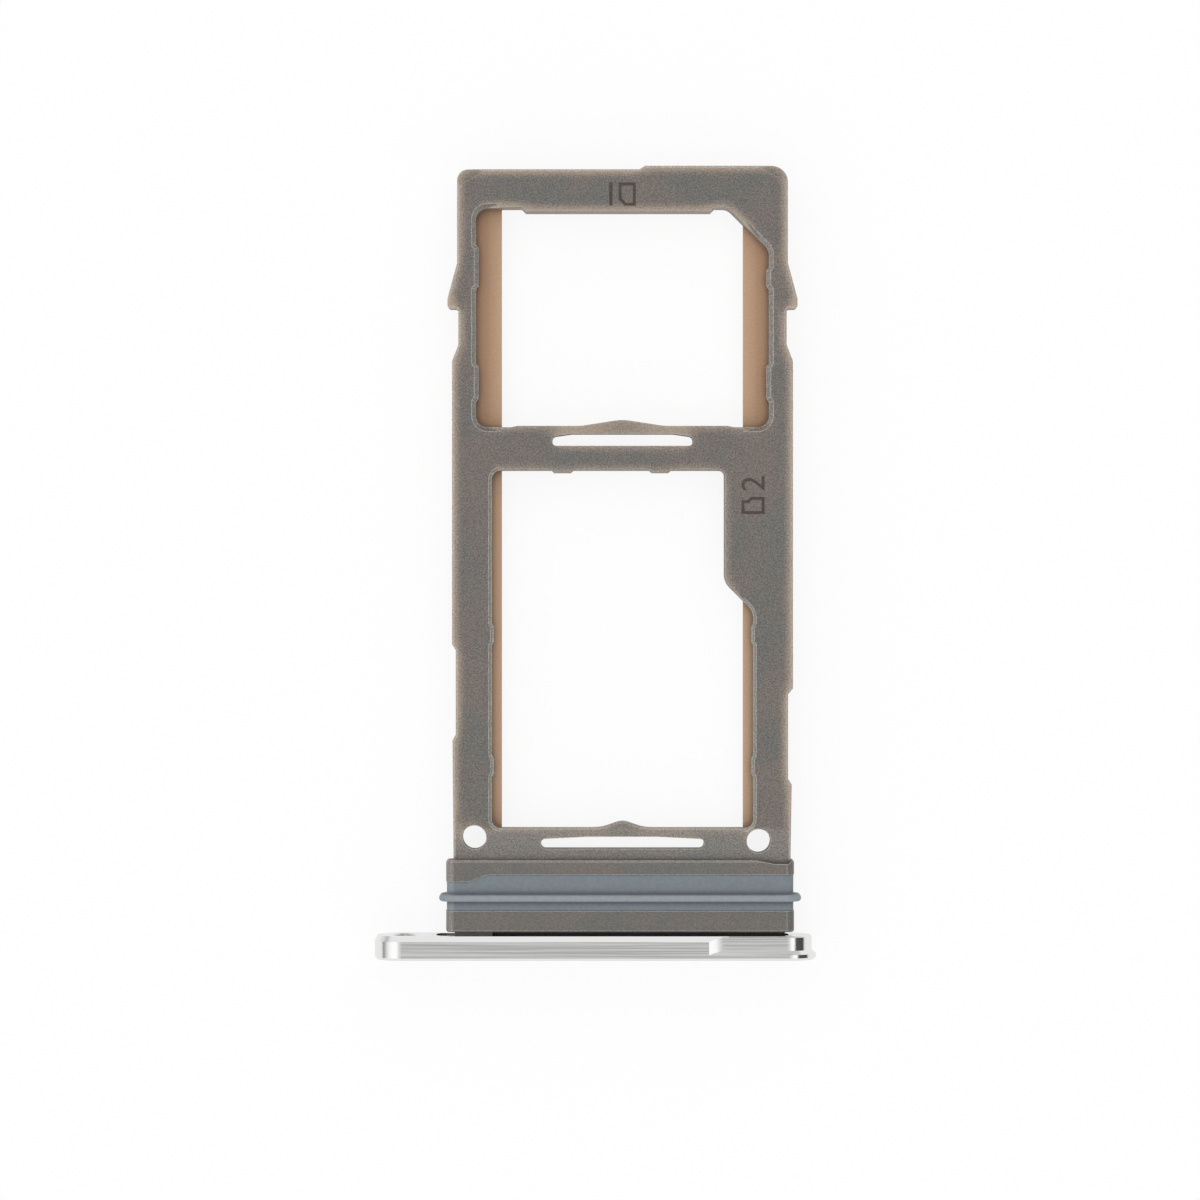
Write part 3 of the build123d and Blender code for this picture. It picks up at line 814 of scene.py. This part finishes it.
def seal_section(tree, given):
    """Band and lip as one closed outline, outwards along X and along the neck in Y."""
    inner = maths(tree, "MULTIPLY", given["Band thickness"], -1.0)
    skin = maths(tree, "MULTIPLY", given["Band sink"], -1.0)
    top = given["Lip height"]
    end = given["Band length"]
    lip_start = given["Lip place"]
    lip_end = maths(tree, "ADD", lip_start, given["Lip thickness"])
    corners = (
        (inner, 0.0, given["Band rounding"]),
        (skin, 0.0, given["Band rounding"]),
        (skin, lip_start, given["Foot rounding"]),
        (top, lip_start, given["Lip rounding"]),
        (top, lip_end, given["Lip rounding"]),
        (skin, lip_end, given["Foot rounding"]),
        (skin, end, given["Band rounding"]),
        (inner, end, given["Band rounding"]),
    )
    index = add(tree, "GeometryNodeInputIndex").outputs[0]
    places = add(tree, "GeometryNodeIndexSwitch", {"data_type": "VECTOR"})
    rounds = add(tree, "GeometryNodeIndexSwitch", {"data_type": "FLOAT"})
    for switch in (places, rounds):
        while len(switch.index_switch_items) < len(corners):
            switch.index_switch_items.new()
        tree.links.new(index, switch.inputs["Index"])
    for number, (out, along, radius) in enumerate(corners):
        spot = add(tree, "ShaderNodeCombineXYZ", X=out, Y=along)
        tree.links.new(spot.outputs[0], places.inputs[number + 1])
        feed(tree, rounds.inputs[number + 1], radius)
    points = add(tree, "GeometryNodePoints", Count=len(corners), Position=places.outputs[0])
    line = add(tree, "GeometryNodePointsToCurves", Points=points.outputs[0])
    closed = add(tree, "GeometryNodeSetSplineCyclic", Geometry=line.outputs[0], Cyclic=True)
    rounded = add(
        tree,
        "GeometryNodeFilletCurve",
        {"mode": "POLY"},
        Curve=closed.outputs[0],
        Count=ROUND_POINTS,
        Radius=rounds.outputs[0],
        Limit_Radius=True,
    )
    position = add(tree, "GeometryNodeInputPosition").outputs[0]
    outwards = add(tree, "ShaderNodeSeparateXYZ", Vector=position).outputs["X"]
    kept = add(
        tree,
        "GeometryNodeStoreNamedAttribute",
        {"data_type": "FLOAT", "domain": "POINT"},
        Geometry=rounded.outputs[0],
        Name="proud",
        Value=maths(tree, "DIVIDE", outwards, given["Lip height"]),
    )
    return kept.outputs[0]


def short_end(tree, given, ring):
    """Pulls the band's far edge back at its left end."""
    position = add(tree, "GeometryNodeInputPosition").outputs[0]
    place = add(tree, "ShaderNodeSeparateXYZ", Vector=position).outputs
    centre = add(tree, "ShaderNodeSeparateXYZ", Vector=given["Centre"]).outputs
    lip_end = maths(tree, "ADD", given["Lip place"], given["Lip thickness"])
    middle = maths(tree, "MULTIPLY", maths(tree, "ADD", lip_end, given["Band length"]), 0.5)
    limit = maths(tree, "ADD", centre["Y"], middle)
    far_edge = add(
        tree, "FunctionNodeCompare", {"operation": "GREATER_THAN"}, A=place["Y"], B=limit
    )
    slope = add(
        tree,
        "ShaderNodeMapRange",
        Value=place["X"],
        From_Min=given["Short end X"],
        From_Max=maths(tree, "ADD", given["Short end X"], given["Short ramp"]),
        To_Min=maths(tree, "MULTIPLY", given["Short step"], -1.0),
        To_Max=0.0,
    )
    back = add(tree, "ShaderNodeCombineXYZ", Y=slope.outputs["Result"])
    moved = add(
        tree,
        "GeometryNodeSetPosition",
        Geometry=ring,
        Selection=far_edge.outputs["Result"],
        Offset=back.outputs[0],
    )
    return moved.outputs[0]


def made_by_nodes(name, tree, inputs):
    """Plain mesh object from a node tree with these inputs."""
    piece = bpy.data.objects.new(name, bpy.data.meshes.new(name))
    bpy.context.scene.collection.objects.link(piece)
    modifier = piece.modifiers.new(name, "NODES")
    modifier.node_group = tree
    for item in tree.interface.items_tree:
        if item.in_out == "INPUT":
            modifier[item.identifier] = inputs[item.name]
    evaluated = piece.evaluated_get(bpy.context.evaluated_depsgraph_get())
    mesh = bpy.data.meshes.new_from_object(evaluated)
    piece.modifiers.remove(modifier)
    piece.data = mesh
    mesh.name = name
    if not mesh.polygons:
        raise RuntimeError(f"{name} came out empty")
    return piece


class CARDTRAY_OT_frame(bpy.types.Operator):
    """Give the moulded frame its plastic"""

    bl_idname = "card_tray.frame"
    bl_label = "Finish the frame"

    def execute(self, context):
        settings = context.scene.card_tray
        dress(FRAME_NODE, moulded_plastic(settings.frame, settings.light, settings.bays))
        return {"FINISHED"}


class CARDTRAY_OT_seal(bpy.types.Operator):
    """Sweep the silicone seal round the neck"""

    bl_idname = "card_tray.seal"
    bl_label = "Make the seal"

    def execute(self, context):
        shape = context.scene.card_tray.seal
        low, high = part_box(SEAL_NODE)
        width = high.x - low.x - 2 * shape.lip_height
        inputs = {
            "Width": width,
            "Height": high.z - low.z - 2 * shape.lip_height,
            "Corner": shape.corner,
            "Band length": high.y - low.y,
            "Band thickness": shape.band_thickness,
            "Band sink": shape.band_sink,
            "Lip place": shape.lip_from_band,
            "Lip thickness": shape.lip_thickness,
            "Lip height": shape.lip_height,
            "Lip rounding": shape.lip_round,
            "Foot rounding": shape.foot_round,
            "Band rounding": shape.band_round,
            "Short step": shape.short_step,
            "Short end X": (low.x + high.x - width) / 2 + shape.short_width,
            "Short ramp": shape.short_ramp,
            "Spacing": shape.spacing,
            "Centre": ((low.x + high.x) / 2, low.y, (low.z + high.z) / 2),
            "Material": moulded_silicone(shape),
        }
        piece = made_by_nodes("silicone_seal", seal_sweep(), inputs)
        on_root(piece)
        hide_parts(SEAL_NODE)
        return {"FINISHED"}


class CARDTRAY_OT_plate(bpy.types.Operator):
    """Give the end plate its machined metal"""

    bl_idname = "card_tray.plate"
    bl_label = "Finish the end plate"

    def execute(self, context):
        dress(PLATE_NODE, machined_metal(context.scene.card_tray.plate))
        return {"FINISHED"}


def glyph(text, height):
    """Flat mesh of one numeral, with its lower left corner at the origin."""
    curve = bpy.data.curves.new("bay_number", "FONT")
    curve.body = text
    curve.size = 1.0
    holder = bpy.data.objects.new("bay_number", curve)
    bpy.context.scene.collection.objects.link(holder)
    evaluated = holder.evaluated_get(bpy.context.evaluated_depsgraph_get())
    mesh = bpy.data.meshes.new_from_object(evaluated)
    bpy.data.objects.remove(holder)
    bpy.data.curves.remove(curve)
    xs = [v.co.x for v in mesh.vertices]
    ys = [v.co.y for v in mesh.vertices]
    scale = height / (max(ys) - min(ys))
    mesh.transform(Matrix.Scale(scale, 4) @ Matrix.Translation((-min(xs), -min(ys), 0)))
    return mesh


def card_outline(points, line, height):
    """Flat mesh of a card's outline of that height, drawn with that line width."""
    shape = bmesh.new()
    face = shape.faces.new([shape.verts.new((x, y, 0)) for x, y in points])
    face.normal_update()
    bmesh.ops.inset_individual(shape, faces=[face], thickness=line / height, use_even_offset=True)
    bmesh.ops.delete(shape, geom=[face], context="FACES")
    shape.transform(Matrix.Scale(height, 4))
    mesh = bpy.data.meshes.new("card_sign")
    shape.to_mesh(mesh)
    shape.free()
    return mesh


def bay_mark(name, meshes, place, turn, depth, material):
    """One piece from flat meshes, given thickness and turned into its place on the frame."""
    shape = bmesh.new()
    for mesh in meshes:
        shape.from_mesh(mesh)
        bpy.data.meshes.remove(mesh)
    bmesh.ops.remove_doubles(shape, verts=shape.verts, dist=MERGE)
    raised = bmesh.ops.extrude_face_region(shape, geom=shape.faces[:])
    lifted = [item for item in raised["geom"] if isinstance(item, bmesh.types.BMVert)]
    bmesh.ops.translate(shape, verts=lifted, vec=(0, 0, depth))
    bmesh.ops.recalc_face_normals(shape, faces=shape.faces)
    low = Vector([min(v.co[axis] for v in shape.verts) for axis in range(3)])
    high = Vector([max(v.co[axis] for v in shape.verts) for axis in range(3)])
    middle = (low + high) / 2
    middle.z = 0
    turned = Matrix.Rotation(turn, 4, "Z") @ Matrix.Translation(-middle)
    shape.transform(Matrix.Translation(place) @ turned)
    mesh = bpy.data.meshes.new(name)
    shape.to_mesh(mesh)
    shape.free()
    mesh.materials.append(material)
    piece = bpy.data.objects.new(name, mesh)
    bpy.context.scene.collection.objects.link(piece)
    on_root(piece)


class CARDTRAY_OT_marks(bpy.types.Operator):
    """Mark both bays with a plain card sign and a number"""

    bl_idname = "card_tray.marks"
    bl_label = "Mark the bays"

    def execute(self, context):
        settings = context.scene.card_tray
        shape = settings.marks
        tall = shape.height
        ink = lasered_ink(shape)
        skin = settings.stage.frame_top - shape.depth
        thick = 2 * shape.depth
        for name, number, points, place, turn in (
            ("bay_mark_1", "1", SIM_SIGN, (shape.sim_x, shape.sim_y, skin), math.pi),
            ("bay_mark_2", "2", MEMORY_SIGN, (shape.memory_x, shape.memory_y, skin), math.pi / 2),
        ):
            sign = card_outline(points, shape.line, tall)
            figure = glyph(number, tall)
            figure.transform(Matrix.Translation((tall, 0, 0)))
            bay_mark(name, [sign, figure], place, turn, thick, ink)
        return {"FINISHED"}


def studio_world(world, setup):
    """Soft white dome, dimmer overhead, at the horizon and on the left, with a dark gap on the right."""
    tree = empty_tree(world)
    way = add(tree, "ShaderNodeTexCoord").outputs["Generated"]
    apart = add(tree, "ShaderNodeSeparateXYZ", Vector=way).outputs
    x, y, z = apart["X"], apart["Y"], apart["Z"]
    zenith = ramp(tree, z, *ZENITH, 1.0, setup.overhead)
    horizon = ramp(tree, z, *HORIZON, setup.horizon, 1.0)
    away = product(tree, maths(tree, "ABSOLUTE", y), SIDE_SPREAD)
    rightwards = ramp(tree, maths(tree, "SUBTRACT", x, away), *RIGHT_SIDE)
    leftwards = ramp(tree, maths(tree, "ADD", x, away), *LEFT_SIDE)
    dark_gap = product(tree, rightwards, within(tree, z, *GAP_HEIGHTS), setup.dark_gap)
    dim_side = product(tree, leftwards, ramp(tree, z, *DIM_HEIGHTS), setup.dim_side)
    left_over = maths(tree, "SUBTRACT", 1.0, maths(tree, "ADD", dark_gap, dim_side))
    light = product(tree, zenith, horizon, left_over, setup.light)
    background = add(tree, "ShaderNodeBackground", Color=WHITE, Strength=light)
    output = add(tree, "ShaderNodeOutputWorld")
    tree.links.new(background.outputs[0], output.inputs["Surface"])


def white_floor(setup):
    """White floor that keeps a faint shadow."""
    made = bpy.data.materials.new("white_floor")
    tree = empty_tree(made)
    bright = setup.floor_bright
    matt = add(tree, "ShaderNodeBsdfDiffuse", Color=(bright, bright, bright, 1))
    pale = add(tree, "ShaderNodeBsdfDiffuse", Color=WHITE)
    path = add(tree, "ShaderNodeLightPath").outputs
    level = lessened(tree, path["Is Glossy Ray"], setup.floor_mirrored)
    white = add(tree, "ShaderNodeEmission", Color=WHITE, Strength=level)
    shown = add(
        tree, "ShaderNodeMixShader", Fac=setup.floor_shade, in1=white.outputs[0], in2=pale.outputs[0]
    )
    seen = maths(tree, "MAXIMUM", path["Is Camera Ray"], path["Is Glossy Ray"])
    seen = maths(tree, "MAXIMUM", seen, path["Is Transmission Ray"])
    mixed = add(tree, "ShaderNodeMixShader", Fac=seen, in1=matt.outputs[0], in2=shown.outputs[0])
    output = add(tree, "ShaderNodeOutputMaterial")
    tree.links.new(mixed.outputs[0], output.inputs["Surface"])
    return made


class CARDTRAY_OT_stage(bpy.types.Operator):
    """Set up the floor, the light and the camera"""

    bl_idname = "card_tray.stage"
    bl_label = "Set the stage"

    def execute(self, context):
        scene = context.scene
        setup = scene.card_tray.stage
        scene.view_settings.view_transform = "Standard"
        scene.world = scene.world or bpy.data.worlds.new("studio")
        studio_world(scene.world, setup)
        reach = setup.floor_reach
        corners = ((-reach, -reach), (reach, -reach), (reach, reach), (-reach, reach))
        mesh = bpy.data.meshes.new("floor")
        mesh.from_pydata([(x, y, -setup.floor_gap) for x, y in corners], [], [(0, 1, 2, 3)])
        mesh.materials.append(white_floor(setup))
        floor = bpy.data.objects.new("floor", mesh)
        scene.collection.objects.link(floor)
        camera = bpy.data.cameras.new("camera")
        camera.sensor_width = SENSOR_WIDTH
        camera.lens = SENSOR_WIDTH * setup.camera_height / setup.view_width
        camera.clip_start = CLIP_NEAR
        camera.clip_end = CLIP_FAR
        holder = bpy.data.objects.new("camera", camera)
        holder.location = (setup.focus_x, setup.focus_y, setup.frame_top + setup.camera_height)
        scene.collection.objects.link(holder)
        scene.camera = holder
        return {"FINISHED"}


class CARDTRAY_PT_sidebar(bpy.types.Panel):
    """Card tray settings and steps"""

    bl_label = "Card Tray"
    bl_idname = "CARDTRAY_PT_sidebar"
    bl_space_type = "VIEW_3D"
    bl_region_type = "UI"
    bl_category = "Card Tray"

    def draw(self, context):
        settings = context.scene.card_tray
        for operator, groups in STEPS:
            box = self.layout.box()
            box.operator(operator.bl_idname)
            for group in groups:
                values = getattr(settings, group)
                for name in values.__annotations__:
                    box.prop(values, name)


STEPS = (
    (CARDTRAY_OT_stage, ("stage",)),
    (CARDTRAY_OT_frame, ("frame", "light", "bays")),
    (CARDTRAY_OT_seal, ("seal",)),
    (CARDTRAY_OT_plate, ("plate",)),
    (CARDTRAY_OT_marks, ("marks",)),
)
CLASSES = (
    BayPlaces,
    FrameFinish,
    FrameLight,
    SealShape,
    PlateFinish,
    MarkShape,
    StageSetup,
    CardTraySettings,
    CARDTRAY_OT_frame,
    CARDTRAY_OT_seal,
    CARDTRAY_OT_plate,
    CARDTRAY_OT_marks,
    CARDTRAY_OT_stage,
    CARDTRAY_PT_sidebar,
)


def register():
    """Registers the classes and gives each scene its settings."""
    for cls in CLASSES:
        bpy.utils.register_class(cls)
    bpy.types.Scene.card_tray = PointerProperty(type=CardTraySettings)


def unregister():
    """Takes the settings and the classes away again."""
    del bpy.types.Scene.card_tray
    for cls in reversed(CLASSES):
        bpy.utils.unregister_class(cls)


def main():
    """Registers the add-on, sets the stage and makes every piece."""
    register()
    bpy.ops.card_tray.stage()
    bpy.ops.card_tray.frame()
    bpy.ops.card_tray.seal()
    bpy.ops.card_tray.plate()
    bpy.ops.card_tray.marks()


if __name__ == "__main__":
    main()
